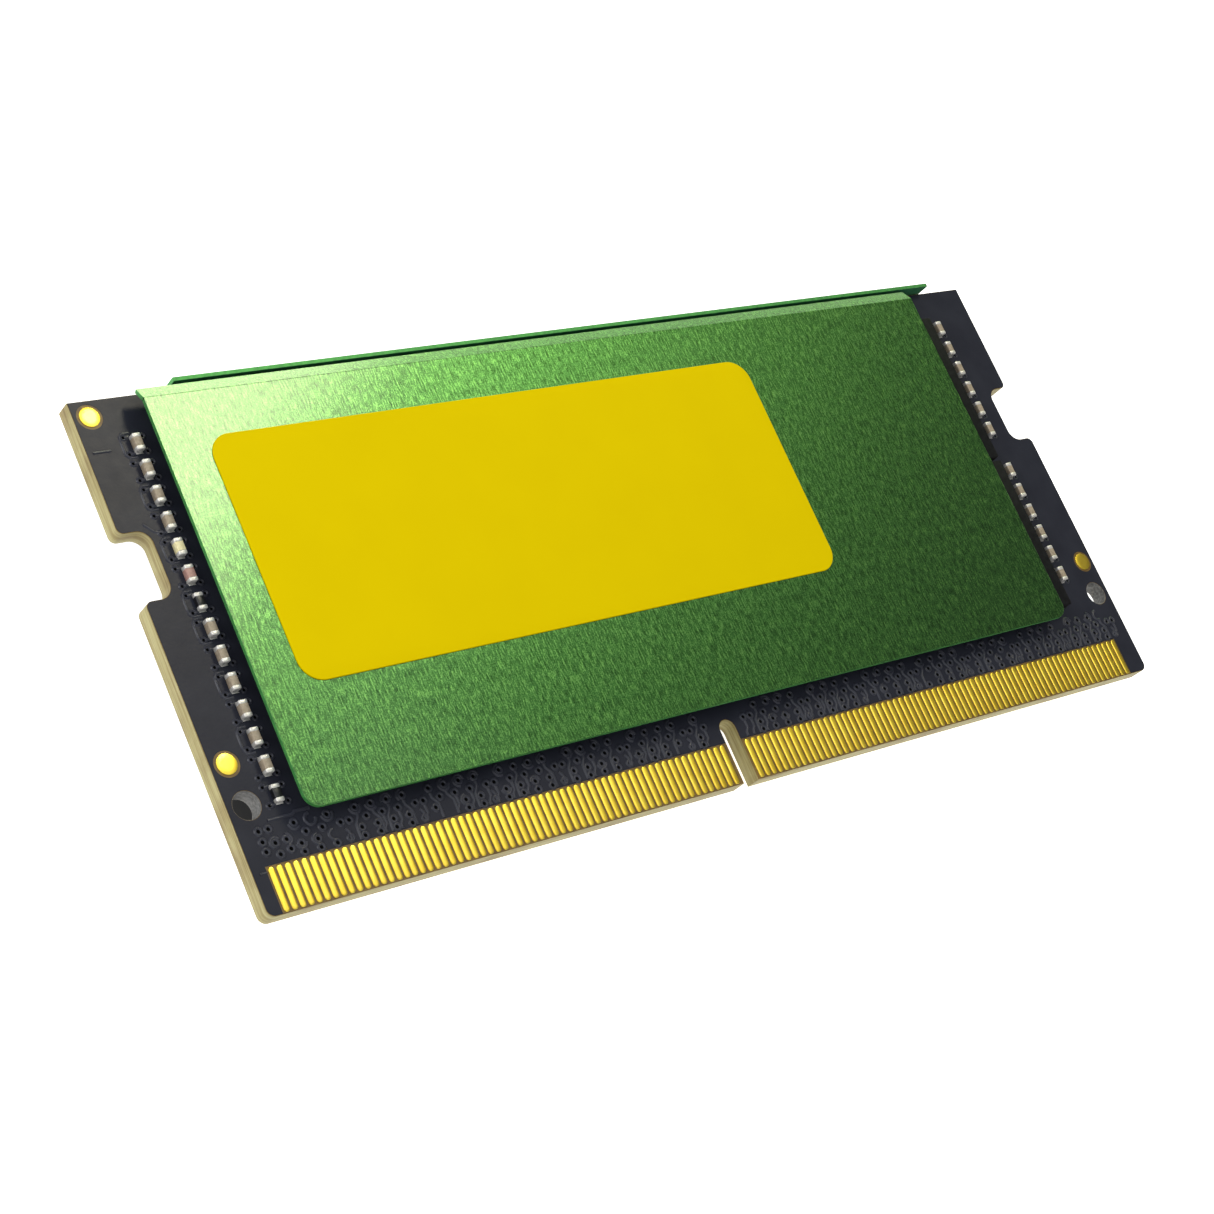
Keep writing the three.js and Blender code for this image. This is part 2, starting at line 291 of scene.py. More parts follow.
def substrate_look():
    look = Look("package_substrate", Roughness=0.4)
    cloud = look.noise(2500, 3)
    look.feed("Base Color", look.ramp(cloud, [(0.3, (0.01, 0.03, 0.014)), (0.7, (0.016, 0.045, 0.02))]))
    return look.material


def tin_look():
    look = Look("tin", Metallic=0.45)
    cloud = look.noise(5000, 4)
    look.feed("Base Color", look.ramp(cloud, [(0.3, (0.62, 0.6, 0.56)), (0.7, (0.86, 0.84, 0.8))]))
    look.feed("Roughness", look.range(look.noise(6000, 3), 0.25, 0.48))
    look.bump(look.noise(7000, 3), 0.3, 0.03 * MM)
    return look.material


def ceramic_look(name, dark, light, roughness, gloss=0.5):
    """A fine-grained opaque surface between two colours."""
    look = Look(name, Roughness=roughness, Specular_IOR_Level=gloss)
    look.feed("Base Color", look.ramp(look.noise(6000, 4), [(0.3, dark), (0.7, light)]))
    look.bump(look.noise(9000, 3), 0.3, 0.02 * MM)
    return look.material


def silicone_look():
    look = Look("silicone_pad", Roughness=0.8)
    cloud = look.noise(2500, 5)
    look.feed("Base Color", look.ramp(cloud, [(0.3, (0.26, 0.29, 0.31)), (0.7, (0.38, 0.41, 0.43))]))
    look.bump(look.noise(4000, 4), 0.4, 0.05 * MM)
    return look.material


def floor_look():
    """A pale floor that glows evenly, but for the shade that shows through the left tooling hole."""
    look = Look("pale_floor", Roughness=0.9, Emission_Strength=1.0)
    look.shader.inputs["Emission Color"].default_value = (1, 1, 1, 1)
    pale = look.ramp(look.noise(8, 3), [(0.3, (0.86, 0.86, 0.86)), (0.7, (0.88, 0.88, 0.88))])
    centre = board_point(SHADE_X, SHADE_Y)
    source = look.add("ShaderNodeTexCoord")
    spot = look.add("ShaderNodeMapping", vector_type="TEXTURE")
    spot.inputs["Location"].default_value = (centre.x, centre.y, 0)
    spot.inputs["Scale"].default_value = (SHADE_RADIUS, SHADE_RADIUS, SHADE_RADIUS)
    nearness = look.add("ShaderNodeTexGradient", gradient_type="SPHERICAL")
    look.links.new(source.outputs["Object"], spot.inputs["Vector"])
    look.links.new(spot.outputs["Vector"], nearness.inputs["Vector"])
    shade = look.ramp(nearness.outputs["Fac"], [(0, (1, 1, 1)), (0.45, (0.02, 0.02, 0.02))])
    look.feed("Base Color", look.mix(pale, shade, 1, "MULTIPLY"))
    look.feed("Emission Strength", shade)
    return look.material


SOLDERMASK = soldermask_look("soldermask", (0.022, 0.0235, 0.034), (0.028, 0.03, 0.042), 0.09)
MASK_ON_COPPER = soldermask_look("soldermask_on_copper", (0.031, 0.033, 0.045), (0.042, 0.044, 0.06), 0.3)
LAMINATE = laminate_look()
RESIN = resin_look()
GOLD = gold_look()
GREEN = spreader_look()
GREEN_INSIDE = spreader_inside_look()
GREEN_EDGE = spreader_edge_look()
YELLOW = label_look()
MOULD = mould_look()
SUBSTRATE = substrate_look()
TIN = tin_look()
TAN_CERAMIC = ceramic_look("tan_ceramic", (0.3, 0.24, 0.17), (0.42, 0.35, 0.26), 0.45)
CREAM_CERAMIC = ceramic_look("cream_ceramic", (0.78, 0.69, 0.36), (0.9, 0.82, 0.5), 0.45)
PINK_CERAMIC = ceramic_look("pink_ceramic", (0.36, 0.2, 0.17), (0.5, 0.3, 0.25), 0.45)
BARREL = ceramic_look("plated_barrel", (0.09, 0.09, 0.087), (0.24, 0.235, 0.225), 0.4, 0.3)
# Near black and without shine: painted shade for the inside of the via holes, which are only shallow
# hollows
VIA_PAINTED_SHADE = ceramic_look("via_painted_shade", (0.002, 0.002, 0.002), (0.004, 0.004, 0.004), 0.9, 0.0)
BLACK_GLAZE = ceramic_look("black_glaze", (0.008, 0.008, 0.009), (0.016, 0.016, 0.017), 0.3)
FERRITE = ceramic_look("ferrite", (0.05, 0.05, 0.055), (0.09, 0.09, 0.095), 0.65)
SILICONE = silicone_look()


# ------------------------------------------------------------- mesh helpers

def finish_piece(obj, slot, *nodes):
    """Puts a new piece on the part's one body and hides the CAD nodes that it stands for. Its finish, the
    slot, is not used.
    """
    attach(obj, "root")
    if nodes:
        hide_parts(*nodes)


def object_from(name, bm, materials, smooth_angle=35):
    """A new object. Edges with less than the smooth angle between their faces are shaded smooth."""
    bmesh.ops.recalc_face_normals(bm, faces=bm.faces)
    mesh = bpy.data.meshes.new(name)
    bm.to_mesh(mesh)
    bm.free()
    for material in materials:
        mesh.materials.append(material)
    mesh.shade_smooth()
    mesh.set_sharp_from_angle(angle=math.radians(smooth_angle))
    obj = bpy.data.objects.new(name, mesh)
    bpy.context.scene.collection.objects.link(obj)
    return obj


def soften_edges(obj, width):
    modifier = obj.modifiers.new("rounded edges", "BEVEL")
    modifier.width = width
    modifier.segments = 2
    modifier.limit_method = "ANGLE"
    modifier.angle_limit = math.radians(40)


def arc(centre, radius, start, end, steps=8):
    """Points on an arc, with its start and end angles in quarter turns."""
    points = []
    for step in range(steps + 1):
        angle = (start + (end - start) * step / steps) * math.pi / 2
        points.append((centre[0] + radius * math.cos(angle), centre[1] + radius * math.sin(angle)))
    return points


def circle(x, y, radius, steps=32):
    return arc((x, y), radius, 0, 4 * (1 - 1 / steps), steps - 1)


def rounded_outline(left, bottom, right, top, radius, steps):
    """A rectangle with round corners, each of so many steps."""
    corners = [((right, bottom), -1), ((right, top), 0), ((left, top), 1), ((left, bottom), 2)]
    points = []
    for (x, y), start in corners:
        inward = (x + (-radius if x == right else radius), y + (-radius if y == top else radius))
        points += arc(inward, radius, start, start + 1, steps)
    return points


def skin(bm, rings, material=0, end_material=None):
    """Joins rings of points into a closed surface. The last band and cap can have their own material."""
    loops = [[bm.verts.new(point) for point in ring] for ring in rings]
    end = material if end_material is None else end_material
    bands = [material] * (len(loops) - 2) + [end]
    for band, lower, upper in zip(bands, loops, loops[1:]):
        for index in range(len(lower)):
            following = (index + 1) % len(lower)
            face = bm.faces.new((lower[index], lower[following], upper[following], upper[index]))
            face.material_index = band
    bm.faces.new(loops[0][::-1]).material_index = material
    bm.faces.new(loops[-1]).material_index = end


def layer(low, high, inset, radius, steps, z):
    """A ring of points at one height of a block, moved inwards from the block's sides by inset."""
    outline = rounded_outline(low.x + inset, low.y + inset, high.x - inset, high.y - inset, radius, steps)
    return [(x, y, z) for x, y in outline]


def rounded_block(bm, low, high, radius, bevel, material):
    """A block with round upright corners, a bevel under it and a small round over it."""
    levels = [(low.z, bevel), (low.z + bevel, 0), (high.z - bevel, 0),
              (high.z - bevel * 0.3, bevel * 0.3), (high.z, bevel)]
    rings = []
    for z, inset in levels:
        rings.append(layer(low, high, inset, max(radius - inset, radius * 0.3), 3, z))
    skin(bm, rings, material)


def plate(name, outlines, low_z, high_z, bevel=0.0):
    """A flat plate from closed outlines, the first its edge and the others its holes, as a mesh."""
    curve = bpy.data.curves.new(name, "CURVE")
    curve.dimensions = "2D"
    curve.fill_mode = "BOTH"
    curve.extrude = (high_z - low_z) / 2 - bevel
    curve.bevel_depth = bevel
    curve.bevel_resolution = 1
    curve.offset = -bevel
    for outline in outlines:
        spline = curve.splines.new("POLY")
        spline.points.add(len(outline) - 1)
        for point, (x, y) in zip(spline.points, outline):
            point.co = (x, y, 0, 1)
        spline.use_cyclic_u = True
    holder = bpy.data.objects.new(name, curve)
    bpy.context.scene.collection.objects.link(holder)
    bpy.context.view_layer.update()
    mesh = bpy.data.meshes.new_from_object(holder.evaluated_get(bpy.context.evaluated_depsgraph_get()))
    bpy.data.objects.remove(holder)
    bpy.data.curves.remove(curve)
    mesh.transform(Matrix.Translation((0, 0, (low_z + high_z) / 2)))
    return mesh


# -------------------------------------------------------------- the board

def board_outline(inset=0.0, low_edge=None):
    """The board's edge, moved inwards by inset. With low_edge, the contacts below it are left out."""
    left, right = BOARD_LOW.x + inset, BOARD_HIGH.x - inset
    bottom, top = BOARD_LOW.y + inset, BOARD_HIGH.y - inset
    corner = CORNER_RADIUS - inset
    half_key = KEY_WIDTH / 2 + inset
    key_x = BOARD_LOW.x + KEY_X
    key_top = BOARD_LOW.y + KEY_DEPTH + inset
    key_foot = bottom if low_edge is None else BOARD_LOW.y + low_edge
    low, high = (BOARD_LOW.y + NOTCH_Y + side * NOTCH_WIDTH / 2 for side in (-1, 1))
    inner = NOTCH_RADIUS + inset
    mouth = MOUTH_RADIUS - inset

    points = arc((left + corner, bottom + corner), corner, 2, 3)
    if low_edge is not None:
        window_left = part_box("contacts_front_left")[0].x - WINDOW_MARGIN
        window_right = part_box("contacts_front_right")[1].x + WINDOW_MARGIN
        points += [(window_left, bottom), (window_left, key_foot)]
    points += [(key_x - half_key, key_foot)]
    points += arc((key_x, key_top - half_key), half_key, 2, 0, 12)
    points += [(key_x + half_key, key_foot)]
    if low_edge is not None:
        points += [(window_right, key_foot), (window_right, bottom)]
    points += arc((right - corner, bottom + corner), corner, 3, 4)
    deep = BOARD_HIGH.x - NOTCH_DEPTH + NOTCH_RADIUS
    points += arc((right - mouth, low - MOUTH_RADIUS), mouth, 0, 1, 5)
    points += arc((deep, low + NOTCH_RADIUS), inner, 3, 2)
    points += arc((deep, high - NOTCH_RADIUS), inner, 2, 1)
    points += arc((right - mouth, high + MOUTH_RADIUS), mouth, -1, 0, 5)
    points += [(right, top), (left, top)]
    deep = BOARD_LOW.x + NOTCH_DEPTH - NOTCH_RADIUS
    points += arc((left + mouth, high + MOUTH_RADIUS), mouth, 2, 3, 5)
    points += arc((deep, high - NOTCH_RADIUS), inner, 1, 0)
    points += arc((deep, low + NOTCH_RADIUS), inner, 0, -1)
    points += arc((left + mouth, low - MOUTH_RADIUS), mouth, 1, 2, 5)
    return points


def hole_centres():
    y = BOARD_LOW.y + HOLE_Y
    return [(x, y) for x in (BOARD_LOW.x + HOLE_INSET, BOARD_HIGH.x - HOLE_INSET)]


def tooling_holes(extra=0.0):
    """The outlines of the two tooling holes, each wider by an extra radius."""
    return [circle(x, y, HOLE_RADIUS + extra) for x, y in hole_centres()]


def in_tooling_hole(point):
    """Whether a point is on the wall or the rim of a tooling hole."""
    return any((point.xy - Vector(centre)).length < 1.1 * HOLE_RADIUS for centre in hole_centres())


def mark_circle(node):
    """The centre and radius of a round gold mark."""
    low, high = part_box(node)
    return (low.x + high.x) / 2, (low.y + high.y) / 2, (high.x - low.x) / 2


def fiducial_openings():
    openings = []
    for node in FIDUCIALS:
        x, y, radius = mark_circle(node)
        openings.append(circle(x, y, radius + FIDUCIAL_MARGIN))
    return openings


def make_board():
    """The laminate core with a film of solder mask on each face, open over the contacts and gold marks."""
    cut_edge, bare, mask, barrel = range(4)
    core = plate("core", [board_outline(), *tooling_holes()],
                 BOARD_LOW.z + MASK_THICKNESS, BOARD_HIGH.z - MASK_THICKNESS, 0.02 * MM)
    films = []
    mask_edge = board_outline(MASK_INSET, WINDOW_TOP)
    films.append(plate("front_mask", [mask_edge, *tooling_holes(MASK_INSET), *fiducial_openings()],
                       BOARD_HIGH.z - MASK_THICKNESS, BOARD_HIGH.z))
    films.append(plate("back_mask", [mask_edge, *tooling_holes(MASK_INSET)],
                       BOARD_LOW.z, BOARD_LOW.z + MASK_THICKNESS))
    bm = bmesh.new()
    bm.from_mesh(core)
    for face in bm.faces:
        if in_tooling_hole(face.calc_center_median()):
            face.material_index = barrel
        else:
            face.material_index = cut_edge if abs(face.normal.z) < 0.5 else bare
    for film in films:
        old = set(bm.faces)
        bm.from_mesh(film)
        for face in bm.faces:
            if face not in old:
                face.material_index = mask
    for mesh in (core, *films):
        bpy.data.meshes.remove(mesh)
    board = object_from("circuit_board", bm, [LAMINATE, RESIN, SOLDERMASK, BARREL])
    finish_piece(board, "board", "pcb")


# ------------------------------------------- relief of the copper under the mask

# Places in the relief are in millimetres from the board's lower left corner, as (x, y).
RELIEF_HEIGHT = 0.07 * MM
TRACE_WIDTH = 0.22 * MM
VIA_RADIUS = 0.29 * MM
VIA_STEPS = 14
UPPER_Y, MIDDLE_Y, LOWER_Y, LOWEST_Y = 4.5, 3.9, 3.35, 2.87
TRACE_FOOT_Y = 2.72
FIRST_COLUMN_X = 3.4
LAST_COLUMN_X = 67.6
COLUMN_STEP = 1.01
GROUP_STEP = 1.74
KEY_PLACE_X = KEY_X / MM


def ridge(bm, points, width=TRACE_WIDTH):
    """A low rounded ridge along a line of places on the board's front face."""
    places = [board_point(x * MM, y * MM).xy for x, y in points]
    rows = []
    for index, place in enumerate(places):
        before, after = places[max(index - 1, 0)], places[min(index + 1, len(places) - 1)]
        heading = (after - before).normalized()
        side = Vector((-heading.y, heading.x))
        row = []
        for share, rise in ((-0.5, -0.1), (-0.25, 0.75), (0, 1), (0.25, 0.75), (0.5, -0.1)):
            x, y = place + side * width * share
            row.append(bm.verts.new((x, y, BOARD_HIGH.z + rise * RELIEF_HEIGHT)))
        rows.append(row)
    for near, far in zip(rows, rows[1:]):
        for corners in zip(near, near[1:], far[1:], far):
            bm.faces.new(corners)
        bm.faces.new((near[0], far[0], far[-1], near[-1]))
    bm.faces.new(rows[0])
    bm.faces.new(rows[-1][::-1])


def via(bm, x, y, radius=VIA_RADIUS):
    """A plated hole under the mask: a low ring round a shallow hollow, which is coloured near black as
    painted shade for the depth of the hole.
    """
    ring, hollow = range(2)
    centre = board_point(x * MM, y * MM)
    rings = []
    for share, rise in ((1, -0.1), (0.82, 0.7), (0.67, 1), (0.55, 0.85), (0.36, 0.1), (0.1, 0.08)):
        outline = circle(centre.x, centre.y, radius * share, VIA_STEPS)
        rings.append([(px, py, centre.z + rise * RELIEF_HEIGHT) for px, py in outline])
    skin(bm, rings, ring, hollow)


def loop_round(x, y, radius, start, turn):
    """Part of a circle round a via, in millimetres and quarter turns."""
    return arc((x, y), radius, start, start + turn)


def left_group(bm):
    """The irregular vias and traces left of the first column."""
    left_x, loop_x, right_x = 1.26, 1.95, 2.65
    for x, y in ((left_x, UPPER_Y), (1.85, UPPER_Y), (left_x, MIDDLE_Y), (loop_x, 3.7), (right_x, 3.75),
                 (left_x, LOWER_Y), (2, 3.05), (2.7, 3.2)):
        via(bm, x, y)
    ridge(bm, loop_round(loop_x, 3.7, 0.3, 0.4, 2.2))
    ridge(bm, loop_round(right_x, 3.75, 0.3, -1, 2))
    ridge(bm, [(2.0, 4.95), (3.5, 4.95), (3.65, 5.08), (4.6, 5.08)])


def via_column(bm, x):
    """Up to three vias, one above the other, with a loop or a trace at each end."""
    for y in (UPPER_Y, LOWER_Y, LOWEST_Y):
        if DRAW.random() < 0.93:
            via(bm, x, y)
    if DRAW.random() < 0.6:
        ridge(bm, loop_round(x, UPPER_Y, 0.33, DRAW.choice((0, 1, 2, 3)), DRAW.choice((1.5, 2.2, 3))))
    if DRAW.random() < 0.7:
        lean = DRAW.choice((-0.28, 0.28))
        ridge(bm, [(x + lean, TRACE_FOOT_Y), (x + lean, 3.55), (x, 3.95), (x, 4.2)])
    else:
        ridge(bm, loop_round(x, LOWER_Y, 0.3, DRAW.choice((0, 1, 2)), 2))


def middle_via(bm, x):
    """A via between two columns. Half of them have a bent trace that runs down to the contacts."""
    via(bm, x, MIDDLE_Y)
    if DRAW.random() < 0.5:
        ridge(bm, [(x, 3.65), (x, 3.2), (x - 0.2, 2.95), (x - 0.2, TRACE_FOOT_Y)])


def make_contact_relief():
    """Vias and short traces between the contacts and the spreader, in groups of four columns."""
    bm = bmesh.new()
    left_group(bm)
    column_x = FIRST_COLUMN_X
    column = 1
    while column_x < LAST_COLUMN_X:
        near_key = abs(column_x - KEY_PLACE_X) < 1.3
        if not near_key:
            via_column(bm, column_x)
        ends_group = column % 4 == 3
        steps = (0.62, 1.15) if ends_group else (0.5,)
        for step in steps:
            if abs(column_x + step - KEY_PLACE_X) > 0.9:
                middle_via(bm, column_x + step)
        if ends_group and not near_key:
            ridge(bm, [(column_x + 0.9, 2.75), (column_x + 0.9, 3.3), (column_x + 0.75, 3.5)])
            via(bm, column_x + 0.87, 2.95)
        column_x += GROUP_STEP if ends_group else COLUMN_STEP
        column += 1
    relief = object_from("contact_vias_and_traces", bm, [MASK_ON_COPPER, VIA_PAINTED_SHADE], 50)
    finish_piece(relief, "board")


def make_side_relief():
    """Vias and outlines beside the two columns of small parts."""
    narrow = 0.16 * MM
    medium = 0.18 * MM
    bm = bmesh.new()
    parts = [node for node in sorted(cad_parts) if node.startswith(("capacitor_", "resistor_"))]
    for number, node in enumerate(parts):
        low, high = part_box(node)
        x = ((low.x + high.x) / 2 - BOARD_LOW.x) / MM
        y = ((low.y + high.y) / 2 - BOARD_LOW.y) / MM
        for end in (-0.52, 0.52):
            via(bm, x - 0.56, y + end, 0.24 * MM)
            ridge(bm, [(x - 0.5, y + end), (x - 0.2, y + end)])
            via(bm, x + 0.58, y + 0.9 * end, 0.22 * MM)
        if number % 2 == 0:
            outline = [(x - 0.15, y + 0.74), (x - 0.62, y + 0.74), (x - 0.8, y + 0.56)]
            ridge(bm, outline + [(px, 2 * y - py) for px, py in reversed(outline)], narrow)
    ridge(bm, [(0.4, 26.85), (1.45, 26.85)], medium)
    ridge(bm, [(1.6, 22.35), (2.1, 21.8), (2.6, 21.75)], medium)
    ridge(bm, [(0.45, 2.3), (0.85, 2.3)], medium)
    relief = object_from("side_vias_and_traces", bm, [MASK_ON_COPPER, VIA_PAINTED_SHADE], 50)
    finish_piece(relief, "board")


# ------------------------------------------------------------ gold contacts

def contact(bm, x, low_y, high_y, foot, top):
    """One gold finger, slightly domed, with round ends."""
    half = CONTACT_WIDTH / 2
    step = top - foot
    rings = []
    for height, inset in ((0, 0), (0.55, 0), (0.85, 0.02 * MM), (0.96, 0.05 * MM), (1, 0.1 * MM)):
        outline = rounded_outline(x - half + inset, low_y + inset, x + half - inset, high_y - inset,
                                  CONTACT_RADIUS - inset, 4)
        rings.append([(px, py, foot + step * height) for px, py in outline])
    skin(bm, rings)


def make_contacts():
    """The gold fingers. They start on the board's core, at the depth of the mask."""
    for face in ("front", "back"):
        for side in ("left", "right"):
            node = f"contacts_{face}_{side}"
            low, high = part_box(node)
            count = round((high.x - low.x - CONTACT_WIDTH) / CONTACT_PITCH) + 1
            if face == "front":
                foot, top = low.z - MASK_THICKNESS, high.z
            else:
                foot, top = high.z + MASK_THICKNESS, low.z
            bm = bmesh.new()
            for number in range(count):
                contact(bm, low.x + CONTACT_WIDTH / 2 + number * CONTACT_PITCH, low.y, high.y, foot, top)
            finish_piece(object_from(f"{node}_fingers", bm, [GOLD], 50), "gold_plating", node)


def make_fiducials():
    """The round gold marks, each slightly domed."""
    for node in FIDUCIALS:
        low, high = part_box(node)
        x, y, radius = mark_circle(node)
        levels = [(low.z - MASK_THICKNESS, 1), (high.z - 0.01 * MM, 1),
                  (high.z, 0.93), (high.z + 0.004 * MM, 0.5)]
        bm = bmesh.new()
        rings = []
        for z, share in levels:
            rings.append([(px, py, z) for px, py in circle(x, y, radius * share, 40)])
        skin(bm, rings)
        finish_piece(object_from(f"{node}_disc", bm, [GOLD], 50), "gold_plating", node)


# -------------------------------------------------------------- small parts

def solder_fillet(bm, x, y, outward, foot, height, half_width, material):
    """Solder that climbs the end of a part: y is the end's place and outward is -1 or 1."""
    reach = 0.08 * MM
    steps = 5
    rings = []
    for step in range(steps + 1):
        share = step / steps
        run = y + outward * reach * share
        rise = foot + height * (0.03 + 0.97 * (1 - share) ** 2.2)
        width = half_width * (0.92 + 0.2 * share)
        corners = ((-width, foot), (-width * 0.8, rise), (width * 0.8, rise), (width, foot))
        rings.append([(x + across, run, z) for across, z in corners])
    skin(bm, rings, material)


def chip_part(name, low, high, terminal, body):
    """A chip capacitor or resistor: its body, its two tinned ends and the solder at each end."""
    ceramic, metal = range(2)
    rim = 0.015 * MM
    overlap = 0.02 * MM
    bm = bmesh.new()
    inner_low = Vector((low.x + rim, low.y + rim, low.z))
    inner_high = Vector((high.x - rim, high.y - rim, high.z - rim))
    rounded_block(bm, inner_low, inner_high, 0.03 * MM, 0.02 * MM, ceramic)
    for start, end in ((low.y, low.y + terminal), (high.y - terminal, high.y)):
        end_low = Vector((low.x, start, low.z))
        end_high = Vector((high.x, end, high.z))
        rounded_block(bm, end_low, end_high, 0.07 * MM, 0.045 * MM, metal)
    centre_x, half = (low.x + high.x) / 2, (high.x - low.x) / 2
    climb = (high.z - low.z) * 0.6
    for y, outward in ((low.y + overlap, -1), (high.y - overlap, 1)):
        solder_fillet(bm, centre_x, y, outward, low.z, climb, half, metal)
    return object_from(name, bm, [body, TIN], 50)


def make_small_parts():
    """The chip capacitors and resistors. Two of the left column's capacitors have another colour."""
    odd_bodies = {"capacitor_left_05": CREAM_CERAMIC, "capacitor_left_06": PINK_CERAMIC}
    for node in sorted(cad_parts):
        kind = node.split("_")[0]
        if kind not in ("capacitor", "resistor", "bulk"):
            continue
        low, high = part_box(node)
        body = BLACK_GLAZE if kind == "resistor" else odd_bodies.get(node, TAN_CERAMIC)
        terminal = BULK_TERMINAL if kind == "bulk" else TERMINAL
        piece = chip_part(f"{node}_part", low, high, terminal, body)
        finish_piece(piece, "resistor" if kind == "resistor" else "capacitor", node)


# ------------------------------------------ memory, power parts and thermal pads

def solder_balls(bm, low, high, foot, top, material):
    """Two groups of ball columns between the board and the package."""
    x_centre, y_centre = (low.x + high.x) / 2, (low.y + high.y) / 2
    for column in (-4, -3, -2, 2, 3, 4):
        for row in range(-6, 7):
            place = Vector((x_centre + column * BALL_PITCH, y_centre + row * BALL_PITCH, (foot + top) / 2))
            scale = Matrix.Diagonal((BALL_RADIUS, BALL_RADIUS, abs(top - foot) / 2, 1))
            shape = Matrix.Translation(place) @ scale
            made = bmesh.ops.create_uvsphere(bm, u_segments=8, v_segments=6, radius=1, matrix=shape)
            for face in {face for vert in made["verts"] for face in vert.link_faces}:
                face.material_index = material


def make_memory():
    """Ball-grid packages: a black moulding on a thin substrate, on solder balls."""
    mould, substrate, balls = range(3)
    inset = Vector((MOULD_INSET, MOULD_INSET, 0))
    for face in ("front", "back"):
        for number in range(1, 5):
            node = f"memory_{face}_{number}"
            low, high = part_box(node)
            out = 1 if face == "front" else -1
            board_z, outer_z = (low.z, high.z) if out > 0 else (high.z, low.z)
            seat = board_z + out * BALL_HEIGHT
            joint = board_z + out * SUBSTRATE_TOP
            bm = bmesh.new()
            bottom, top = sorted((seat, joint))
            base_low, base_high = Vector((low.x, low.y, bottom)), Vector((high.x, high.y, top))
            rounded_block(bm, base_low, base_high, 0.08 * MM, 0.01 * MM, substrate)
            bottom, top = sorted((joint, outer_z))
            cap_low = Vector((low.x, low.y, bottom)) + inset
            cap_high = Vector((high.x, high.y, top)) - inset
            rounded_block(bm, cap_low, cap_high, 0.12 * MM, 0.035 * MM, mould)
            solder_balls(bm, low, high, board_z, seat, balls)
            finish_piece(object_from(f"{node}_package", bm, [MOULD, SUBSTRATE, TIN]), "package", node)


def make_power_chips():
    """The two flat packages, with a row of leads along each side."""
    mould, metal = range(2)
    lead_size = Vector((2 * LEAD_REACH, LEAD_WIDTH, LEAD_THICKNESS))
    for node in ("power_chip", "spd_hub"):
        low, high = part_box(node)
        bm = bmesh.new()
        rounded_block(bm, low, high, 0.06 * MM, 0.03 * MM, mould)
        lead_count = int((high.y - low.y) / LEAD_PITCH) - 1
        for side in (low.x, high.x):
            for lead in range(lead_count):
                y = (low.y + high.y) / 2 + (lead - (lead_count - 1) / 2) * LEAD_PITCH
                start = Vector((side - LEAD_REACH, y - LEAD_WIDTH / 2, low.z))
                rounded_block(bm, start, start + lead_size, 0.02 * MM, 0.01 * MM, metal)
        finish_piece(object_from(f"{node}_package", bm, [MOULD, TIN]), "package", node)


def make_chokes():
    """The power inductors: a ferrite block on two tinned feet that show a little at its ends."""
    ferrite, metal = range(2)
    proud = 0.02 * MM
    margin = 0.3 * MM
    for number in range(1, 4):
        node = f"power_inductor_{number}"
        low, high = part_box(node)
        bm = bmesh.new()
        rounded_block(bm, low, high, 0.25 * MM, 0.12 * MM, ferrite)
        for x in (low.x, high.x - CHOKE_FOOT):
            start = Vector((x - proud, low.y + margin, low.z))
            end = Vector((x + CHOKE_FOOT + proud, high.y - margin, low.z + CHOKE_FOOT_HEIGHT))
            rounded_block(bm, start, end, 0.05 * MM, 0.03 * MM, metal)
        finish_piece(object_from(f"{node}_choke", bm, [FERRITE, TIN], 50), "ferrite", node)


def make_pads():
    """Thermal pads, squeezed so that their sides bulge a little."""
    for node in sorted(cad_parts):
        if not node.startswith("thermal_pad"):
            continue
        low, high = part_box(node)
        bm = bmesh.new()
        rings = []
        for share in (0, 0.25, 0.5, 0.75, 1):
            inset = PAD_BULGE * (2 * share - 1) ** 2
            rings.append(layer(low, high, inset, PAD_RADIUS, 5, low.z + (high.z - low.z) * share))
        skin(bm, rings)
        finish_piece(object_from(f"{node}_sheet", bm, [SILICONE], 60), "thermal_pad", node)


# ------------------------------------------------------------- heat spreaders

# A sheet is made of rows that run along the board. Each is (y, z, outward y, outward z).

def corner_rows(low, outer, out):
    """Rows over the height of the round corners, close together where the corners turn fastest."""
    steps = 8
    rows = []
    for step in range(steps + 1):
        y = low.y + SHEET_CORNER * (1 - math.cos(math.pi / 2 * step / steps))
        rows.append((y, outer, 0, out))
    return rows


def bend_rows(start_y, outer, out, radius, turn, steps):
    """Rows round a bend that starts flat at start_y and turns towards the board."""
    rows = []
    for step in range(steps + 1):
        angle = turn * step / steps
        y = start_y + radius * math.sin(angle)
        z = outer - out * radius * (1 - math.cos(angle))
        rows.append((y, z, math.sin(angle), out * math.cos(angle)))
    return rows


def front_rows(low, high):
    """Flat, then a rim bent down a little along the top."""
    tangent = RIM_RADIUS * math.tan(RIM_ANGLE / 2)
    bend_y = high.y - RIM_LENGTH * math.cos(RIM_ANGLE) - tangent
    rows = corner_rows(low, high.z, 1) + bend_rows(bend_y, high.z, 1, RIM_RADIUS, RIM_ANGLE, 4)
    rim_end = high.z - RIM_LENGTH * math.sin(RIM_ANGLE)
    rows.append((high.y, rim_end, math.sin(RIM_ANGLE), math.cos(RIM_ANGLE)))
    return rows


def back_rows(low, high):
    """Flat, then folded up past the board's top edge."""
    rows = corner_rows(low, low.z, -1)
    rows += bend_rows(high.y - FLANGE_RADIUS, low.z, -1, FLANGE_RADIUS, math.pi / 2, 10)
    rows.append((high.y, high.z, 1, 0))
    return rows


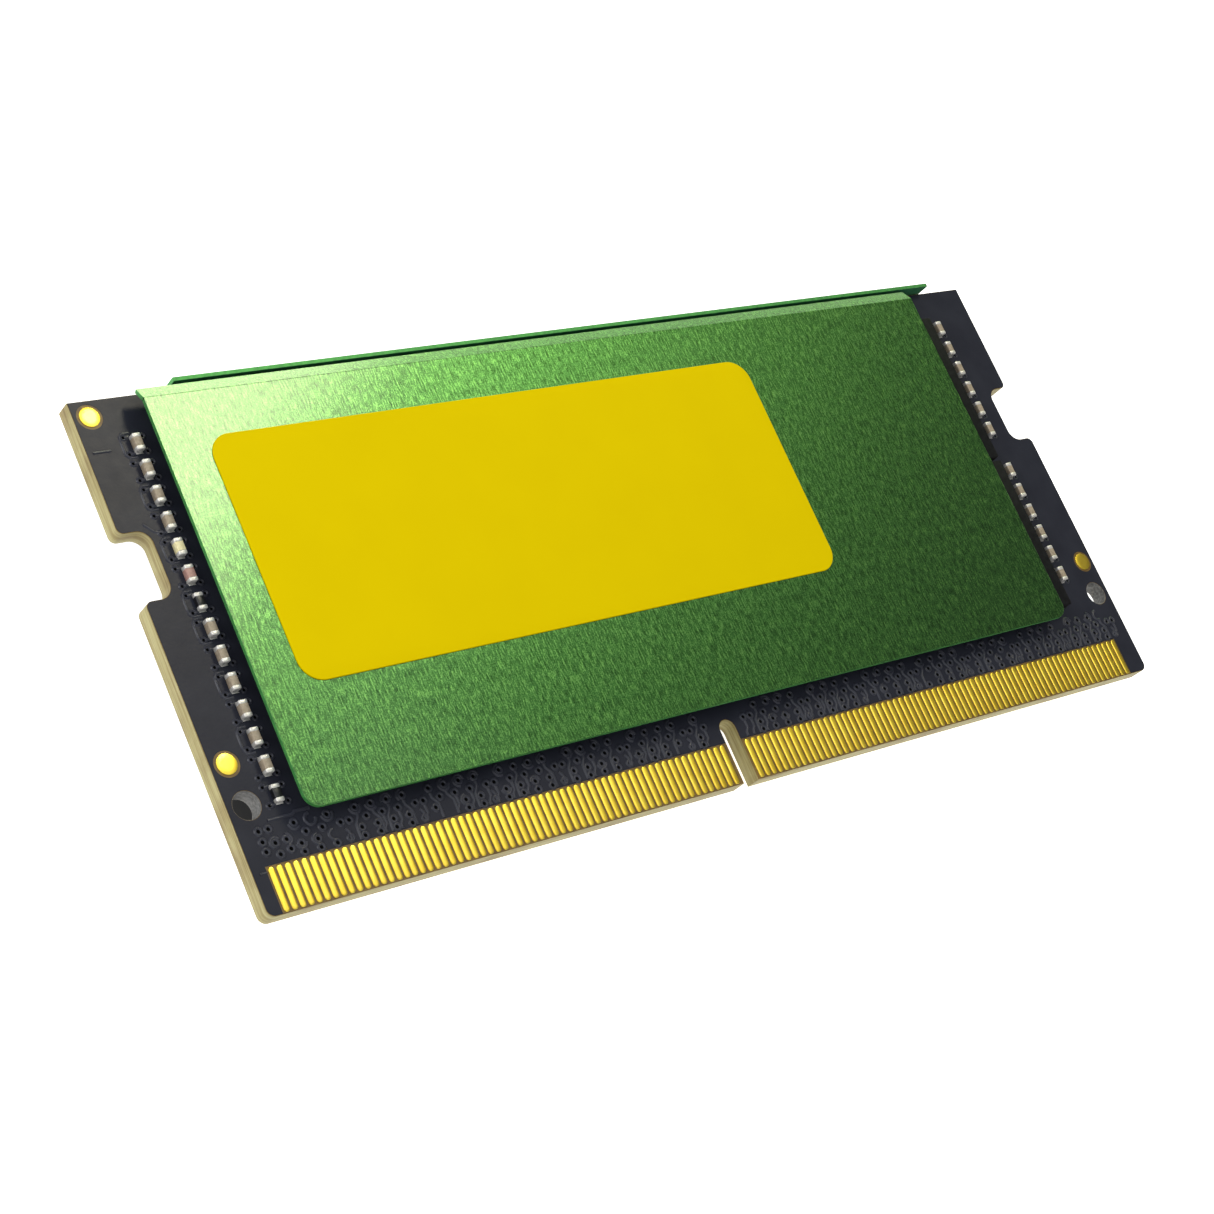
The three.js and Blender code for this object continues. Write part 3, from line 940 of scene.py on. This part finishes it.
def sheet_grid(bm, rows, low, high, depth, material):
    """One face of the sheet, as a grid of vertices at a depth below its outer face."""
    grid = []
    for y, z, outward_y, outward_z in rows:
        rise = min(y - low.y, SHEET_CORNER)
        cut = SHEET_CORNER - math.sqrt(SHEET_CORNER ** 2 - (SHEET_CORNER - rise) ** 2)
        left, right = low.x + cut, high.x - cut
        line = []
        for column in range(SHEET_COLUMNS + 1):
            x = left + (right - left) * column / SHEET_COLUMNS
            line.append(bm.verts.new((x, y - outward_y * depth, z - outward_z * depth)))
        grid.append(line)
    for near, far in zip(grid, grid[1:]):
        for corners in zip(near, near[1:], far[1:], far):
            bm.faces.new(corners).material_index = material
    return grid


def make_spreader(face):
    """A bent sheet of brushed metal with softened edges."""
    brushed, cut_edge, unbrushed = range(3)
    node = f"{face}_spreader"
    low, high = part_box(node)
    if face == "front":
        low = low + LEFT_TRIM
        rows = front_rows(low, high)
    else:
        rows = back_rows(low, high)
    bm = bmesh.new()
    outer = sheet_grid(bm, rows, low, high, 0, brushed)
    inner = sheet_grid(bm, rows, low, high, SHEET_THICKNESS, unbrushed)
    left_sides = [[line[0] for line in grid] for grid in (outer, inner)]
    right_sides = [[line[-1] for line in grid] for grid in (outer, inner)]
    for top, under in (left_sides, right_sides, (outer[0], inner[0]), (outer[-1], inner[-1])):
        for corners in zip(top, top[1:], under[1:], under):
            bm.faces.new(corners).material_index = cut_edge
    piece = object_from(f"{node}_sheet", bm, [GREEN, GREEN_EDGE, GREEN_INSIDE], 40)
    soften_edges(piece, 0.04 * MM)
    finish_piece(piece, "spreader", node)


def make_label():
    """The blank film on the front sheet, with a soft edge."""
    low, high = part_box("label")
    low = low + LEFT_TRIM
    bm = bmesh.new()
    rings = []
    for share, inset in ((0, 0), (0.6, 0), (0.9, 0.015 * MM), (1, 0.05 * MM)):
        rings.append(layer(low, high, inset, LABEL_RADIUS - inset, 16, low.z + (high.z - low.z) * share))
    skin(bm, rings)
    finish_piece(object_from("blank_label", bm, [YELLOW], 60), "label", "label")


# ------------------------------------------------------------------ the stage

def make_floor():
    bpy.ops.mesh.primitive_grid_add(x_subdivisions=2, y_subdivisions=2, size=FLOOR_SIZE)
    floor = bpy.context.object
    floor.name = "floor"
    floor.location.z = -FLOOR_DROP
    floor.data.materials.append(floor_look())


def make_camera():
    """A long lens from the left of the contact edge, turned about its own axis to set the module level."""
    target = board_point(28.53 * MM, 12.39 * MM)
    distance = 148.3 * MM
    azimuth, elevation, roll = math.radians(-67.94), math.radians(47.98), math.radians(49.24)
    level = math.cos(elevation)
    away = Vector((math.sin(azimuth) * level, -math.cos(azimuth) * level, math.sin(elevation)))
    camera = bpy.data.objects.new("camera", bpy.data.cameras.new("camera"))
    bpy.context.scene.collection.objects.link(camera)
    camera.location = target + away * distance
    camera.rotation_mode = "QUATERNION"
    turn = (-away).to_track_quat("-Z", "Y")
    camera.rotation_quaternion = turn @ Matrix.Rotation(roll, 3, "Z").to_quaternion()
    camera.data.sensor_width = 36
    camera.data.lens = 75.15
    camera.data.clip_start = 0.01
    camera.data.clip_end = 20
    bpy.context.scene.camera = camera


def add_softbox(name, direction, edge, distance, size, power, colour):
    """A rectangular light that faces the module from a direction, with its first side along an edge."""
    light = bpy.data.lights.new(name, "AREA")
    light.shape = "RECTANGLE"
    light.size, light.size_y = size
    light.energy = power
    light.color = colour
    holder = bpy.data.objects.new(name, light)
    bpy.context.scene.collection.objects.link(holder)
    away = Vector(direction).normalized()
    along = (Vector(edge) - away * away.dot(Vector(edge))).normalized()
    turn = Matrix((along, away.cross(along), away)).transposed()
    holder.matrix_world = Matrix.Translation(away * distance) @ turn.to_4x4()


def make_lights():
    world = bpy.data.worlds.new("studio")
    world.use_nodes = True
    background = world.node_tree.nodes["Background"]
    background.inputs["Color"].default_value = (1, 1, 1, 1)
    background.inputs["Strength"].default_value = 0.12
    bpy.context.scene.world = world
    key_edge = (0.518, 0.595, -0.614)
    upright = (0, 0, 1)
    add_softbox("key", (0.412, 0.454, 0.79), key_edge, 0.45, (0.13, 0.07), 0.6, (1, 0.92, 0.68))
    add_softbox("overhead", (-0.1, 0.06, 1), (1, 0, 0), 0.5, (0.8, 0.7), 1.6, (0.95, 0.98, 1))
    add_softbox("left_fill", (-0.82, 0.3, 0.36), upright, 0.5, (0.3, 0.3), 1.2, (1, 1, 1))
    add_softbox("front_fill", (-0.2, -0.9, 0.35), upright, 0.5, (0.2, 0.5), 0.6, (1, 1, 1))
    add_softbox("back_sweep", (0.62, 0.77, 0.12), upright, 0.5, (0.1, 0.5), 0.24, (0.55, 1, 0.3))
    add_softbox("rim_glint", (0.4, 0.91, 0.11), upright, 0.5, (0.1, 0.13), 0.4, (1, 0.95, 0.7))
    bpy.context.scene.view_settings.view_transform = "Standard"


make_board()
make_contact_relief()
make_side_relief()
make_contacts()
make_fiducials()
make_small_parts()
make_memory()
make_power_chips()
make_chokes()
make_pads()
make_spreader("front")
make_spreader("back")
make_label()
make_floor()
make_camera()
make_lights()
